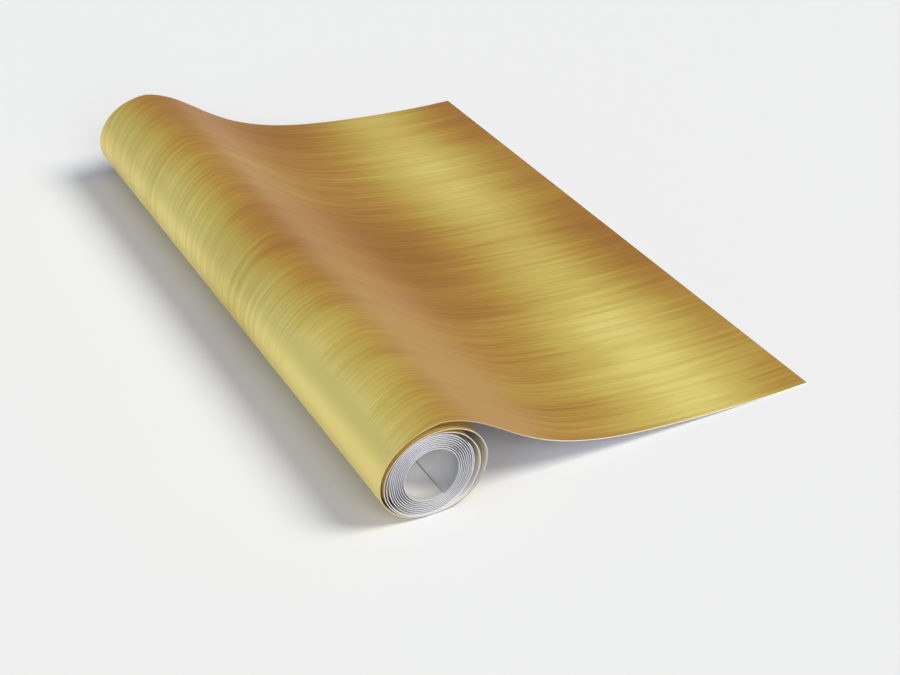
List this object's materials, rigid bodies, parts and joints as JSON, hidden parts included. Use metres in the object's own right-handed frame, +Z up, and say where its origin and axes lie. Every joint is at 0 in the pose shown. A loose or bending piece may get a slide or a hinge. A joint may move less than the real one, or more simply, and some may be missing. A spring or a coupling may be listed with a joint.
{
  "type": "roll of brushed gold sign vinyl",
  "caption": "Coreless roll of brushed gold self-adhesive sign vinyl, wound face out in loose outer wraps, with its springy lead unrolled flat and a peelable leading edge.",
  "frame": {"origin": "on the table, at the middle of the whole part's box", "axes": "+Y along the roll's axis, away from the near end; +X from the roll towards the leading edge; +Z up"},
  "size_m": [0.197, 0.305, 0.0408],
  "materials": {
    "face_film": "metallised gold, brushed along the web, satin",
    "adhesive": "clear to milky pressure-sensitive adhesive",
    "release_liner": "silicone-coated white paper, matt back"
  },
  "bodies": {
    "wraps": {"film_wraps": "face_film", "adhesive_wraps": "adhesive", "liner_wraps": "release_liner", "film_bridge": "face_film", "adhesive_bridge": "adhesive", "liner_bridge": "release_liner"},
    "coil": {"film_coil": "face_film", "adhesive_coil": "adhesive", "liner_coil": "release_liner"},
    "core": {"film_core": "face_film", "adhesive_core": "adhesive", "liner_core": "release_liner"},
    "lead": {"film_lead": "face_film", "adhesive_lead": "adhesive", "liner_lead": "release_liner"},
    "peel_strip": {"film_edge": "face_film", "adhesive_edge": "adhesive"}
  },
  "joints": [
    {"name": "coil_turn", "type": "hinge", "parent": "wraps", "child": "coil", "pos_m": [-0.0774, 0, 0.01857], "axis": [0, -1, 0], "range_deg": [-40, 40], "stiffness_Nm_per_rad": 0.01},
    {"name": "core_slide", "type": "slide", "parent": "coil", "child": "core", "axis": [0, -1, 0], "range_m": [-0.02, 0.02]},
    {"name": "lead_lift", "type": "hinge", "parent": "wraps", "child": "lead", "pos_m": [-0.0198, 0, 0.0133], "axis": [0, -1, 0], "range_deg": [0, 60], "stiffness_Nm_per_rad": 0.016},
    {"name": "film_peel", "type": "hinge", "parent": "lead", "child": "peel_strip", "pos_m": [0.0626, 0, 0.0011], "axis": [0, -1, 0], "range_deg": [0, 140]}
  ]
}
